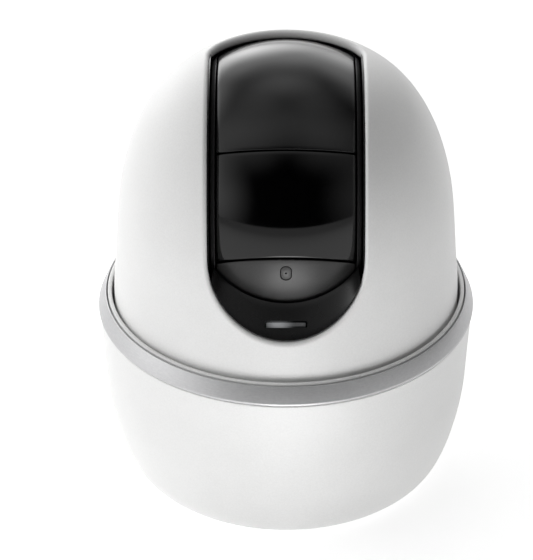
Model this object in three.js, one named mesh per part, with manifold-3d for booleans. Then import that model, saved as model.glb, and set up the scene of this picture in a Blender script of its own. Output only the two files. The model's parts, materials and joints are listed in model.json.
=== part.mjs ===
// Indoor pan and tilt security camera, standing on a table.
// Millimetres, +Z up, the lens side faces -Y, origin at the middle of the foot's resting face.
import * as THREE from 'three';
import { mergeVertices } from 'three/addons/utils/BufferGeometryUtils.js';
import Module from 'manifold-3d';

const wasm = await Module();
wasm.setup();

// ---------------------------------------------------------------- driving dimensions
const GAP = 0.3;                 // space between neighbouring pieces
const RING_R = 42;               // trim ring, widest point of the camera
const RING_Z = 40;               // underside of the trim ring
const RING_TOP_Z = 43.9;
const LIP_R_OUT = 39.9;          // white lip inside the trim ring
const LIP_R_IN = 39.0;
const LIP_Z = 44.3;
const FOOT_H = 0.8;              // how far the foot stands proud of the base
const BASE_WALL = 2.3;
const BASE_R_BOTTOM = 34.5;
const BASE_R_MID = 40.8;
const BASE_Z_MID = 23.4;
const BASE_OPENING_R = 32.5;     // service opening closed by the bottom cover

const DOME_WALL = 1.9;
const DOME_PROFILE = [           // radius, height
  [38.4, 36.2], [38.4, 40], [38.4, 45.4], [38.0, 50.7], [37.6, 55.9], [37.25, 61.1], [36.85, 66.5], [36.05, 72.2],
  [34.6, 78.2], [32.35, 84.3], [29.05, 90.2], [24.5, 95.1], [18.6, 98.45], [12.0, 100.2], [6, 100.85], [0, 101.0]];
const SLOT_HALF = 16.6;          // slot in the dome for the lens ball
const SLOT_ARC_Z = 69.9;         // centre of the slot's half-round bottom
const SLOT_REAR_Y = 18.2;
const SLOT_REAR_R = 22;

const BALL_R = 32.4;             // lens ball, a slice of a sphere
const BALL_WALL = 2.0;
const TILT_Z = 69.2;             // tilt axis, along X
const BALL_HALF = 15.95;
const SKIN_HALF = 14.7;
const SEAM_TILT = 43;            // both seams of the ball are cut at this angle
const SEAM_TOP = 0.9;
const SEAM_LOW = -20.65;
const LENS_ANGLE = 25.3;         // lens axis above the horizontal at rest

const PAN_MODULE = 1.0, PAN_GEAR_T = 44, PAN_PINION_T = 12;
const PAN_PINION_ANGLE = 200;
const TILT_MODULE = 0.7, TILT_GEAR_T = 36, TILT_PINION_T = 12;
const TILT_PINION_Y = 8;

const rad = THREE.MathUtils.degToRad;

// ---------------------------------------------------------------- helpers
// Position only, shared vertices, no empty triangles, faces out.
function clean(geo) {
  let g = geo.index ? geo.toNonIndexed() : geo.clone();
  for (const name of Object.keys(g.attributes)) if (name !== 'position') g.deleteAttribute(name);
  g = mergeVertices(g, 1e-4);
  const p = g.attributes.position, src = g.index.array, out = [];
  const a = new THREE.Vector3(), b = new THREE.Vector3(), c = new THREE.Vector3();
  let volume = 0;
  for (let i = 0; i < src.length; i += 3) {
    const [i0, i1, i2] = [src[i], src[i + 1], src[i + 2]];
    if (i0 === i1 || i1 === i2 || i2 === i0) continue;
    a.fromBufferAttribute(p, i0); b.fromBufferAttribute(p, i1); c.fromBufferAttribute(p, i2);
    volume += a.dot(b.clone().cross(c)) / 6;
    out.push(i0, i1, i2);
  }
  if (volume < 0) for (let i = 0; i < out.length; i += 3) [out[i], out[i + 1]] = [out[i + 1], out[i]];
  const res = new THREE.BufferGeometry();
  res.setAttribute('position', new THREE.BufferAttribute(new Float32Array(p.array), 3));
  res.setIndex(out);
  return res;
}
function solid(geo) {
  const g = clean(geo);
  return new wasm.Manifold(new wasm.Mesh({
    numProp: 3,
    vertProperties: new Float32Array(g.attributes.position.array),
    triVerts: new Uint32Array(g.index.array),
  }));
}
function geometryOf(man) {
  const m = man.getMesh();
  const g = new THREE.BufferGeometry();
  g.setAttribute('position', new THREE.BufferAttribute(new Float32Array(m.vertProperties), 3));
  g.setIndex(Array.from(m.triVerts));
  return g;
}
const cut = (base, ...tools) => tools.reduce((s, t) => s.subtract(solid(t)), solid(base));
const place = (geo, x, y, z) => geo.translate(x, y, z);

// Turned shapes. Profile points are [radius, height]; closed when the first point is repeated.
function turnZ(points, segments = 48) {
  const g = new THREE.LatheGeometry(points.map(([r, h]) => new THREE.Vector2(r, h)), segments);
  return g.rotateX(Math.PI / 2);
}
function turnX(points, segments = 32) {
  const g = new THREE.LatheGeometry(points.map(([r, h]) => new THREE.Vector2(r, h)), segments);
  return g.rotateZ(-Math.PI / 2);
}
const ring = (r0, r1, z0, z1) => [[r0, z0], [r1, z0], [r1, z1], [r0, z1], [r0, z0]];
const disc = (r, z0, z1) => [[0, z0], [r, z0], [r, z1], [0, z1]];
const rodZ = (r, z0, z1, s = 24) => turnZ(disc(r, z0, z1), s);
const rodY = (r, y0, y1, s = 24) => rodZ(r, y0, y1, s).rotateX(-Math.PI / 2);   // z -> +y
const box = (x0, x1, y0, y1, z0, z1) =>
  new THREE.BoxGeometry(x1 - x0, y1 - y0, z1 - z0).translate((x0 + x1) / 2, (y0 + y1) / 2, (z0 + z1) / 2);

const extrude = (shape, depth, curveSegments = 12) =>
  new THREE.ExtrudeGeometry(shape, { depth, bevelEnabled: false, curveSegments });
// Outline drawn in Y and Z, thickness along X.
const asX = new THREE.Matrix4().makeBasis(new THREE.Vector3(0, 1, 0), new THREE.Vector3(0, 0, 1), new THREE.Vector3(1, 0, 0));
// Outline drawn in X and Z, thickness along Y.
const asY = new THREE.Matrix4().makeBasis(new THREE.Vector3(1, 0, 0), new THREE.Vector3(0, 0, 1), new THREE.Vector3(0, -1, 0));
function extrudeX(shape, x0, x1, n) { return extrude(shape, x1 - x0, n).applyMatrix4(asX).translate(x0, 0, 0); }
function extrudeY(shape, y0, y1, n) { return extrude(shape, y1 - y0, n).applyMatrix4(asY).translate(0, y1, 0); }
function extrudeZ(shape, z0, z1, n) { return extrude(shape, z1 - z0, n).translate(0, 0, z0); }

// Closed body through matching rings of points, with flat ends.
function loft(sections) {
  const n = sections[0].length, pos = [], idx = [];
  for (const s of sections) for (const p of s) pos.push(p.x, p.y, p.z);
  for (let i = 0; i + 1 < sections.length; i++) for (let j = 0; j < n; j++) {
    const a = i * n + j, b = i * n + (j + 1) % n, c = a + n, d = b + n;
    idx.push(a, b, c, b, d, c);
  }
  for (const [first, flip] of [[0, true], [(sections.length - 1) * n, false]]) {
    for (let j = 1; j + 1 < n; j++) idx.push(...(flip ? [first, first + j + 1, first + j] : [first, first + j, first + j + 1]));
  }
  const g = new THREE.BufferGeometry();
  g.setAttribute('position', new THREE.BufferAttribute(new Float32Array(pos), 3));
  g.setIndex(idx);
  return g;
}

// Offsets an open profile towards the axis.
function inset(points, t) {
  return points.map((p, i) => {
    const a = points[Math.max(i - 1, 0)], b = points[Math.min(i + 1, points.length - 1)];
    const dx = b[0] - a[0], dz = b[1] - a[1], l = Math.hypot(dx, dz);
    return [p[0] - (dz / l) * t, p[1] + (dx / l) * t];
  });
}
function radiusAt(profile, z) {
  for (let i = 0; i + 1 < profile.length; i++) {
    const [r0, z0] = profile[i], [r1, z1] = profile[i + 1];
    if (z >= z0 && z <= z1) return r0 + (r1 - r0) * (z - z0) / (z1 - z0);
  }
  return z < profile[0][1] ? profile[0][0] : 0;
}

// Spur gear outline with involute flanks, thinned for running backlash.
function gearShape(teeth, mod, bore, { backlash = 0.2, add = 0.8, ded = 1.15, phase = 0 } = {}) {
  const rp = teeth * mod / 2, rb = rp * Math.cos(rad(20)), ra = rp + add * mod, rf = rp - ded * mod;
  const inv = (r) => { const c = Math.min(1, rb / r), t = Math.acos(c); return Math.tan(t) - t; };
  const half = Math.PI / (2 * teeth) - backlash / (2 * rp);
  const at = (r) => half + inv(rp) - inv(Math.max(r, rb));
  const radii = [rf, rp, ra];
  const shape = new THREE.Shape();
  let started = false;
  for (let i = 0; i < teeth; i++) {
    const mid = 2 * Math.PI * i / teeth + phase;
    const flank = radii.map((r) => [r, at(r)]);
    const pts = [...flank.map(([r, w]) => [r, mid - w]), ...flank.reverse().map(([r, w]) => [r, mid + w])];
    for (const [r, t] of pts) {
      const x = r * Math.cos(t), y = r * Math.sin(t);
      if (started) shape.lineTo(x, y); else { shape.moveTo(x, y); started = true; }
    }
  }
  shape.closePath();
  if (bore) { const h = new THREE.Path(); h.absarc(0, 0, bore, 0, Math.PI * 2, true); shape.holes.push(h); }
  return shape;
}

const roundRect = (w, h, r, cx = 0, cy = 0) => {
  const s = new THREE.Shape(), x = cx - w / 2, y = cy - h / 2;
  s.moveTo(x + r, y); s.lineTo(x + w - r, y); s.absarc(x + w - r, y + r, r, -Math.PI / 2, 0, false);
  s.lineTo(x + w, y + h - r); s.absarc(x + w - r, y + h - r, r, 0, Math.PI / 2, false);
  s.lineTo(x + r, y + h); s.absarc(x + r, y + h - r, r, Math.PI / 2, Math.PI, false);
  s.lineTo(x, y + r); s.absarc(x + r, y + r, r, Math.PI, Math.PI * 1.5, false);
  return s;
};

// ---------------------------------------------------------------- finishes
const finish = (color, roughness, metalness = 0, extra = {}) =>
  new THREE.MeshStandardMaterial({ color, roughness, metalness, ...extra });
const WHITE = () => finish(0xf1f1ef, 0.42);
const SILVER = () => finish(0xb4b6b8, 0.32, 0.9);
const GLOSS_BLACK = () => finish(0x0a0a0b, 0.06);
const SMOKED = () => finish(0x020203, 0.05);
const MATTE_GREY = () => finish(0x2b2b2d, 0.55);
const RUBBER = () => finish(0x3a3a3c, 0.9);
const STEEL = () => finish(0xa8abb0, 0.35, 0.95);
const NYLON = () => finish(0xe4e0d4, 0.5);
const FRAME = () => finish(0x3c3e42, 0.6);
const PCB = () => finish(0x1d5a38, 0.5);
const DARK = () => finish(0x141416, 0.5);

const camera = new THREE.Group();
const base = new THREE.Group();
const head = new THREE.Group();
const ball = new THREE.Group();
ball.position.set(0, 0, TILT_Z);
head.add(ball);
camera.add(base, head);
function add(group, name, geo, material) {
  const m = new THREE.Mesh(clean(geo), material);
  m.name = name;
  group.add(m);
  return m;
}

// ---------------------------------------------------------------- base
const baseOuter = [];
for (let i = 0; i <= 7; i++) {
  const t = (1 - i / 7) * Math.PI / 2;
  baseOuter.push([BASE_R_BOTTOM + (BASE_R_MID - BASE_R_BOTTOM) * Math.cos(t) ** 1.34,
    FOOT_H + (BASE_Z_MID - FOOT_H) * (1 - Math.sin(t) ** 1.37)]);
}
baseOuter.push([41.25, 32], [41.7, RING_Z - GAP]);
const baseInner = [[BASE_OPENING_R, FOOT_H], [BASE_OPENING_R, 3.6],
  ...inset(baseOuter, BASE_WALL).filter(([r, z], i) => z > 4.2 && r > BASE_OPENING_R && z < 36 && i % 2 === 0), [LIP_R_IN, 35.5]];
const baseProfile = [...baseOuter, [LIP_R_OUT, RING_Z - GAP], [LIP_R_OUT, LIP_Z], [LIP_R_IN, LIP_Z], ...baseInner.slice().reverse()];
baseProfile.push(baseProfile[0]);

const SOCKET_Z = 8.1;
const RESET_X = 13;
const rearY = (x, z) => Math.sqrt(radiusAt(baseOuter, z) ** 2 - x * x);
const grille = [];
for (let i = -3; i <= 3; i++) {
  const s = roundRect(1.3, 9 - Math.abs(i) * 0.9, 0.6, i * 2.7, 18.5);
  grille.push(extrudeY(s, 34, 44, 2));
}
const socketCut = extrudeY(roundRect(9.6, 3.9, 1.9, 0, SOCKET_Z), 29.6, 44, 6);
const resetCut = place(rodY(1.75, 29.4, 44, 16), RESET_X, 0, SOCKET_Z);
add(base, 'base_shell', geometryOf(cut(turnZ(baseProfile, 48), ...grille, socketCut, resetCut)), WHITE());

add(base, 'trim_ring', turnZ([[40.2, RING_Z], [RING_R, RING_Z], [RING_R, RING_Z + 0.5],
  [40.45, RING_TOP_Z], [40.2, RING_TOP_Z], [40.2, RING_Z]], 60), SILVER());

// Bottom cover with a groove for the foot and three screw holes.
const LEG_R = 26.5;
const legs = [30, 150, 270].map((a) => [LEG_R * Math.cos(rad(a)), LEG_R * Math.sin(rad(a))]);
add(base, 'bottom_cover', geometryOf(cut(turnZ([[0, FOOT_H], [17.7, FOOT_H], [17.7, 1.7], [22.3, 1.7], [22.3, FOOT_H],
  [BASE_OPENING_R - GAP, FOOT_H], [BASE_OPENING_R - GAP, 3.2], [0, 3.2]], 40),
  ...legs.map(([x, y]) => place(rodZ(1.5, 0, 5, 16), x, y, 0)),
  ...legs.map(([x, y]) => place(rodZ(2.9, 0, 1.9, 16), x, y, 0)))), WHITE());
add(base, 'rubber_foot', turnZ(ring(18, 22, 0, 1.4), 40), RUBBER());

// Frame that carries the turntable, on three legs that take the cover screws.
const PAN_PINION = [28 * Math.cos(rad(PAN_PINION_ANGLE)), 28 * Math.sin(rad(PAN_PINION_ANGLE))];
let frame = solid(turnZ([[7.4, 25.2], [9.6, 25.2], [9.6, 26.6], [38.1, 26.6], [38.1, 28.6], [9.6, 28.6], [9.6, 29.2], [7.4, 29.2], [7.4, 25.2]], 40));
for (const [x, y] of legs) frame = frame.add(solid(place(rodZ(2.6, 3.5, 27.6, 12), x, y, 0)));
frame = frame.subtract(solid(place(rodZ(5.1, 20, 32, 20), ...PAN_PINION, 0)));
for (const [x, y] of legs) frame = frame.subtract(solid(place(rodZ(1.3, 0, 12, 8), x, y, 0)));
add(base, 'base_frame', geometryOf(frame), FRAME());
legs.forEach(([x, y], i) => {
  add(base, `cover_screw_${i + 1}`, turnZ([[0, 1.0], [2.4, 1.0], [2.4, 1.55], [0.95, 2.0], [0.95, 10.5], [0, 10.5]], 12), STEEL())
    .position.set(x, y, 0);
});

// Power and motor board.
let board = solid(turnZ(disc(30.5, 4.8, 6), 40));
for (const [x, y] of legs) board = board.subtract(solid(place(rodZ(3, 3, 8, 16), x, y, 0)));
board = board.add(solid(box(-15, 15, 20, 30.2, 4.8, 6)));
add(base, 'base_board', geometryOf(board), PCB());
const socketEnd = rearY(4.5, SOCKET_Z - 1.6) - 0.5;
const socketOut = extrudeY(roundRect(8.94, 3.26, 1.6, 0, SOCKET_Z), 27.5, socketEnd, 6);
const socketIn = extrudeY(roundRect(8.34, 2.56, 1.25, 0, SOCKET_Z), 29, 44, 6);
add(base, 'power_socket', geometryOf(cut(socketOut, socketIn).add(solid(box(-3.4, 3.4, 28, socketEnd - 1.6, SOCKET_Z - 0.35, SOCKET_Z + 0.35)))), STEEL());
add(base, 'reset_switch', geometryOf(solid(box(RESET_X - 2.2, RESET_X + 2.2, 24.4, 27, 6.3, 10.4))
  .add(solid(place(rodY(1.1, 26, 27.5, 12), RESET_X, 0, SOCKET_Z)))), DARK());

// Loudspeaker behind the grille.
add(base, 'speaker_frame', geometryOf(cut(box(-10, 10, 28.2, 32.2, 12.2, 24.8),
  place(rodY(5.6, 29.4, 40, 32), 0, 0, 18.5))), DARK());
add(base, 'speaker_cone', turnZ([[0, 30.7], [1.8, 30.7], [5.2, 31.6], [5.2, 31.95], [4.6, 31.95], [1.7, 31.05], [0, 31.35]], 20)
  .rotateX(-Math.PI / 2).translate(0, 0, 18.5), finish(0x26262a, 0.8));
add(base, 'speaker_magnet', place(rodY(4.2, 24.6, 27.9, 28), 0, 0, 18.5), STEEL());

// Pan motor below the frame, its shaft through the frame's hole.
const motorCentre = [22 * Math.cos(rad(PAN_PINION_ANGLE)), 22 * Math.sin(rad(PAN_PINION_ANGLE))];
add(base, 'pan_motor', geometryOf(solid(place(turnZ([[0, 8.5], [11.2, 8.5], [11.7, 9], [11.7, 26.3], [0, 26.3]], 36), ...motorCentre, 0))
  .add(solid(place(rodZ(4.6, 26, 28, 24), ...PAN_PINION, 0)))
  .add(solid(place(rodZ(1.5, 27, 32.6, 16), ...PAN_PINION, 0)))), STEEL());
const pinionPhase = (teethG, teethP, angle) => {
  // A tooth of the pinion points at a gap of the gear along the line of centres.
  return angle + Math.PI + Math.PI / teethP;
};
add(base, 'pan_pinion', extrudeZ(gearShape(PAN_PINION_T, PAN_MODULE, 1.8, { phase: pinionPhase(PAN_GEAR_T, PAN_PINION_T, rad(PAN_PINION_ANGLE)) }), 29.3, 32.7, 6)
  .translate(...PAN_PINION, 0), NYLON());

// Reset button, pushed in from the rear.
add(base, 'reset_button', turnZ([[0, 28], [2.1, 28], [2.1, 29], [1.42, 29], [1.42, rearY(RESET_X, SOCKET_Z) - 0.15], [1.2, rearY(RESET_X, SOCKET_Z) + 0.1], [0, rearY(RESET_X, SOCKET_Z) + 0.1]], 18)
  .rotateX(-Math.PI / 2).translate(RESET_X, 0, SOCKET_Z), DARK());

// ---------------------------------------------------------------- head, turns about Z
const domeInner = inset(DOME_PROFILE.slice(0, -1), DOME_WALL);
domeInner[0] = [38.4 - DOME_WALL, 36.2];
domeInner.push([0, 101.0 - DOME_WALL]);
const domeProfile = [...DOME_PROFILE, ...domeInner.slice().reverse()];
domeProfile.push(domeProfile[0]);
// Slot: straight sides, half-round bottom, curved rear end.
const slotFront = new THREE.Shape();
slotFront.moveTo(SLOT_HALF, 130);
slotFront.lineTo(SLOT_HALF, SLOT_ARC_Z);
slotFront.absarc(0, SLOT_ARC_Z, SLOT_HALF, 0, -Math.PI, true);
slotFront.lineTo(-SLOT_HALF, 130);
const slotPlan = new THREE.Shape();
const rearHalf = Math.asin(14.6 / SLOT_REAR_R);
slotPlan.moveTo(-SLOT_HALF - 1, -60);
slotPlan.lineTo(SLOT_HALF + 1, -60);
slotPlan.lineTo(SLOT_HALF + 1, 6.5);
slotPlan.lineTo(SLOT_HALF, 9.3);
slotPlan.absarc(0, SLOT_REAR_Y - SLOT_REAR_R, SLOT_REAR_R, Math.PI / 2 - rearHalf, Math.PI / 2 + rearHalf, false);
slotPlan.lineTo(-SLOT_HALF, 9.3);
slotPlan.lineTo(-SLOT_HALF - 1, 6.5);
const slotCut = solid(extrudeY(slotFront, -60, 40, 24)).intersect(solid(extrudeZ(slotPlan, 30, 130, 16)));
add(head, 'dome_shell', geometryOf(solid(turnZ(domeProfile, 52)).subtract(slotCut)), WHITE());

// Black insert in the lower end of the slot, with arms that line the slot's sides.
const inner = inset(DOME_PROFILE.slice(0, -1), DOME_WALL + GAP);
const wallY = (profile, x, z) => -Math.sqrt(Math.max(radiusAt(profile, z) ** 2 - x * x, 1));
const clearBall = (x, z) => -Math.sqrt((BALL_R + 0.5) ** 2 - x * x - (z - TILT_Z) ** 2);
const V = (x, y, z) => new THREE.Vector3(x, y, z);
const bowl = [];
for (let i = 0; i <= 20; i++) {
  const f = rad(-74 + 148 * i / 20), g = f * 53 / 75;
  const r1 = SLOT_HALF - GAP, r2 = SLOT_HALF + 1.6;
  const ox = r1 * Math.sin(f), oz = SLOT_ARC_Z - r1 * Math.cos(f);
  const fx = r2 * Math.sin(f), fz = SLOT_ARC_Z - r2 * Math.cos(f);
  const ix = 19.3 * Math.sin(g), iz = 78.9 - 19.3 * Math.cos(g);
  const kx = ix, kz = iz - 3.2;
  bowl.push([
    V(ox, wallY(DOME_PROFILE, ox, oz) + 0.35, oz),
    V(ix, clearBall(ix, iz), iz),
    V(kx, clearBall(kx, kz), kz),
    V(fx, wallY(inner, fx, fz) + 1.6, fz),
    V(fx, wallY(inner, fx, fz), fz),
    V(ox, wallY(inner, ox, oz), oz),
  ]);
}
const domeCore = solid(turnZ([[0, 36.4], ...inner.map(([r, z]) => [r, z]), [0, 101 - DOME_WALL - GAP]], 52));
const arms = [1, -1].map((s) => solid(turnX(ring(14.2, 38, s > 0 ? 16.25 : -16.95, s > 0 ? 16.95 : -16.25), 48).translate(0, 0, TILT_Z))
  .intersect(domeCore).intersect(solid(box(-40, 40, -40, 22, 46, 110))));
let bezel = solid(loft(bowl));
for (const a of arms) bezel = bezel.add(a);
const pipeDir = new THREE.Vector3(0, 0.719, -0.695);
const pipeAt = (d) => new THREE.Vector3(0, -34.75, 56.15).addScaledVector(pipeDir, d);
function alongPipe(w, h, d0, d1) {
  const g = new THREE.BoxGeometry(w, h, d1 - d0);
  const up = new THREE.Vector3(0, 0.695, 0.719);
  g.applyMatrix4(new THREE.Matrix4().makeBasis(new THREE.Vector3(1, 0, 0), up, pipeDir.clone()).setPosition(0, 0, 0));
  const c = pipeAt((d0 + d1) / 2);
  return g.translate(c.x, c.y, c.z);
}
// The insert is black; the pocket for the light guide runs right through it.
bezel = bezel.subtract(solid(alongPipe(9.0, 1.5, -3, 9)));
add(head, 'front_bezel', geometryOf(bezel), GLOSS_BLACK());
add(head, 'light_pipe', alongPipe(8.4, 0.9, 0.0, 6.2), finish(0xe8f0f4, 0.3));
add(head, 'light_board', alongPipe(10, 4.5, 6.5, 7.3).translate(0, -0.87, -0.9), PCB());

// Turntable: plate with a rim that centres the dome, and a spigot that turns in the frame.
add(head, 'turntable', turnZ([[4.6, 24], [7.1, 24], [7.1, 33.4], [37.2, 33.4], [37.2, 35.9], [36.1, 35.9], [36.1, 41], [34.3, 41],
  [34.3, 35.6], [4.6, 35.6], [4.6, 24]], 48), FRAME());
add(head, 'spigot_retainer', turnZ(ring(7.4, 9.6, 23.6, 24.9), 28), STEEL());
add(head, 'pan_gear', extrudeZ(gearShape(PAN_GEAR_T, PAN_MODULE, 11, { phase: rad(PAN_PINION_ANGLE) }), 29.6, 33.1, 24), NYLON());

// Uprights that carry the lens ball between two bushes.
function uprightShape(motor) {
  const s = new THREE.Shape();
  s.moveTo(-11, 35.9); s.lineTo(motor ? 19 : 11, 35.9); s.lineTo(motor ? 19 : 11, 38.5);
  s.lineTo(motor ? 17 : 8, 44); s.lineTo(motor ? 17 : 6.5, motor ? 60 : 60); s.lineTo(6.5, 66);
  s.absarc(0, TILT_Z, 7, -0.45, Math.PI + 0.45, false);
  s.lineTo(-6.5, 60); s.lineTo(-8, 44); s.lineTo(-11, 38.5);
  const h = new THREE.Path(); h.absarc(0, TILT_Z, 4.3, 0, Math.PI * 2, true); s.holes.push(h);
  if (motor) {
    const k = new THREE.Path(); k.absarc(TILT_PINION_Y, TILT_PINION_Z, 2.2, 0, Math.PI * 2, true); s.holes.push(k);
  }
  return s;
}
const TILT_CD = (TILT_GEAR_T + TILT_PINION_T) * TILT_MODULE / 2;
const TILT_PINION_Z = TILT_Z - Math.sqrt(TILT_CD ** 2 - TILT_PINION_Y ** 2);
add(head, 'upright_right', extrudeX(uprightShape(true), 20.6, 22.6, 10), FRAME());
add(head, 'upright_left', extrudeX(uprightShape(false), -22.6, -20.6, 10), FRAME());
for (const [name, x0, x1] of [['bush_right', 20.3, 22.9], ['bush_left', -22.9, -20.3]]) {
  add(head, name, turnX(ring(2.8, 4.0, x0, x1), 28).translate(0, 0, TILT_Z), NYLON());
}
add(head, 'tilt_motor', turnX([[0, 17.15], [1, 17.15], [1, 22.9], [8, 22.9], [8, 30.2], [7.5, 30.7], [0, 30.7]], 32)
  .translate(0, TILT_PINION_Y, TILT_PINION_Z), STEEL());
const tiltLine = Math.atan2(TILT_PINION_Z - TILT_Z, TILT_PINION_Y);
add(head, 'tilt_pinion', extrudeX(gearShape(TILT_PINION_T, TILT_MODULE, 1.3, { backlash: 0.16, phase: tiltLine + Math.PI + Math.PI / TILT_PINION_T }), 17.2, 20.2, 6)
  .translate(0, TILT_PINION_Y, TILT_PINION_Z), NYLON());

// Main board beside the left upright, with its processor shield and aerial.
add(head, 'main_board', box(-26.2, -25, -17, 17, 41.5, 73), PCB());
add(head, 'processor_shield', box(-28.6, -26.5, -8, 8, 50, 66), STEEL());
add(head, 'aerial_board', box(-24.7, -23.9, -16, -9, 56, 72), DARK());
add(head, 'memory_card_socket', box(-28.0, -26.5, -9, 7, 43, 48.5), STEEL());

// ---------------------------------------------------------------- lens ball, turns about X; its own origin is the tilt axis
const arcProfile = (r, n, flip) => {
  const pts = [];
  for (let i = 0; i <= n; i++) {
    const x = -SKIN_HALF + 2 * SKIN_HALF * i / n;
    pts.push([Math.sqrt(r * r - x * x), x]);
  }
  return flip ? pts.reverse() : pts;
};
const skinProfile = [...arcProfile(BALL_R, 8), ...arcProfile(BALL_R - BALL_WALL, 4, true)];
skinProfile.push(skinProfile[0]);
const skin = solid(turnX(skinProfile, 64));
// Half-space boxes measured along the seam direction (t, towards the front) and across it (c, upwards).
function seamBox(t0, t1, c0, c1) {
  const g = box(-30, 30, t0, t1, c0, c1);
  const a = rad(SEAM_TILT);
  const tDir = new THREE.Vector3(0, -Math.cos(a), Math.sin(a)), cDir = new THREE.Vector3(0, Math.sin(a), Math.cos(a));
  return solid(g.applyMatrix4(new THREE.Matrix4().makeBasis(new THREE.Vector3(-1, 0, 0), tDir, cDir)));
}
add(ball, 'ball_upper_shell', geometryOf(skin.intersect(seamBox(-50, 50, SEAM_TOP + GAP / 2, 50))), GLOSS_BLACK());
add(ball, 'lens_window', geometryOf(skin.intersect(seamBox(5, 50, SEAM_LOW + GAP / 2, SEAM_TOP - GAP / 2))), SMOKED());
const at = (angle, r) => new THREE.Vector3(0, -Math.cos(rad(angle)) * r, Math.sin(rad(angle)) * r);
// Turns a shape built along +Z so that it points out of the ball at an angle above the horizontal.
const aim = (geo, angle) => geo.rotateX(Math.PI / 2 - rad(angle));
const MIC_ANGLE = -3.2;
const micHole = aim(extrudeZ(roundRect(2.5, 3.7, 1.24), 25, 36, 6), MIC_ANGLE);
add(ball, 'chin_cover', geometryOf(skin.intersect(seamBox(-50, 50, -50, SEAM_LOW - GAP / 2)).subtract(solid(micHole))), MATTE_GREY());
add(ball, 'mic_port', geometryOf(solid(aim(extrudeZ(roundRect(1.8, 3.0, 0.89), 29.5, 32.1, 6), MIC_ANGLE))
  .subtract(solid(aim(rodZ(0.45, 25, 36, 10), MIC_ANGLE)))), DARK());
add(ball, 'microphone', aim(rodZ(2.2, 25.6, 28.6, 20), MIC_ANGLE), STEEL());

const sideR = Math.sqrt(BALL_R ** 2 - 15 ** 2);
const sidePlate = [[0, 15], [sideR, 15], [sideR - 0.9, BALL_HALF], [5, BALL_HALF], [5, 16.9], [2.5, 16.9], [2.5, 23.3], [0, 23.3]];
add(ball, 'side_plate_right', turnX(sidePlate, 48), GLOSS_BLACK());
add(ball, 'side_plate_left', turnX([[0, 15], [sideR, 15], [sideR - 0.9, BALL_HALF], [5, BALL_HALF], [5, 20.0], [2.5, 20.0], [2.5, 23.3], [0, 23.3]], 48).rotateZ(Math.PI), GLOSS_BLACK());
add(ball, 'tilt_gear', extrudeX(gearShape(TILT_GEAR_T, TILT_MODULE, 2.8, { backlash: 0.16, phase: tiltLine }), 17.2, 19.9, 16), NYLON());

// Optics behind the window.
add(ball, 'ball_frame', geometryOf(cut(box(-14.4, 14.4, -13, 13, 3.5, 5.5), box(-6, 6, -4, 4, 0, 9))
  .rotate([90 - LENS_ANGLE, 0, 0])), FRAME());
add(ball, 'sensor_board', aim(box(-12.5, 12.5, -11, 11, 5.8, 7.0), LENS_ANGLE), PCB());
add(ball, 'lens_holder', aim(geometryOf(cut(box(-8, 8, -8, 8, 7.3, 14.5), rodZ(6.2, 9.5, 20, 32))), LENS_ANGLE), DARK());
add(ball, 'lens_barrel', aim(turnZ([[3.6, 9.8], [5.9, 9.8], [5.9, 21.5], [7.0, 22], [7.0, 27.2], [5.3, 27.2], [5.3, 24.5], [3.6, 22], [3.6, 9.8]], 24), LENS_ANGLE), DARK());
add(ball, 'lens_glass', aim(turnZ([[0, 24.8], [5.0, 24.8], [5.0, 26.3], [4.2, 26.8], [2.4, 27.4], [0, 27.7]], 24), LENS_ANGLE), finish(0x1a2030, 0.03));
add(ball, 'ir_board', aim(geometryOf(cut(box(-12.8, 12.8, -8, 8, 24.2, 25.2), rodZ(7.4, 20, 30, 32))), LENS_ANGLE), PCB());
for (const [name, x] of [['ir_led_left', -10.2], ['ir_led_right', 10.2]]) {
  add(ball, name, aim(turnZ([[0, 25.5], [1.9, 25.5], [1.9, 26.2], [1.4, 26.8], [0, 27.1]], 20).translate(x, 0, 0), LENS_ANGLE), finish(0x2a1c24, 0.1));
}

export default camera;
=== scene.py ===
import json
import math

import bmesh
import bpy
import numpy as np
from mathutils import Matrix, Vector


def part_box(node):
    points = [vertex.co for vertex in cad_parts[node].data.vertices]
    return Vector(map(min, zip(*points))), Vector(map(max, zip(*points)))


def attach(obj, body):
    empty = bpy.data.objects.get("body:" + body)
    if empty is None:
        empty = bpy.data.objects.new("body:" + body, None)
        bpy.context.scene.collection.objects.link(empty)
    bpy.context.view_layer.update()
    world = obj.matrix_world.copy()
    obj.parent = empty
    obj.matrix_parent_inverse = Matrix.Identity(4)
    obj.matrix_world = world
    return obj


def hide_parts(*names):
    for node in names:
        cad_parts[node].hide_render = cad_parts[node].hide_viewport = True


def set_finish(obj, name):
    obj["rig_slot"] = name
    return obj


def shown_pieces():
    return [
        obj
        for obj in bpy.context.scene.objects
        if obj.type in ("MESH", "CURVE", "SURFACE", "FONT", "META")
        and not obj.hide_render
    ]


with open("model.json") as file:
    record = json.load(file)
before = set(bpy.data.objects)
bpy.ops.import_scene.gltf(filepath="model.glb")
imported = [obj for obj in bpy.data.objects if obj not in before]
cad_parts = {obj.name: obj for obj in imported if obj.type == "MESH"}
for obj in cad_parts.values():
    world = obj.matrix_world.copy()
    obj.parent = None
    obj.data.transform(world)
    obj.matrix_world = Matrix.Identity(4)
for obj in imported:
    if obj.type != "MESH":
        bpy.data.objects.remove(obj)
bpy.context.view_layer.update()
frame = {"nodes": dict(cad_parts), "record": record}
MM = 0.001
scene = bpy.context.scene

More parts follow.
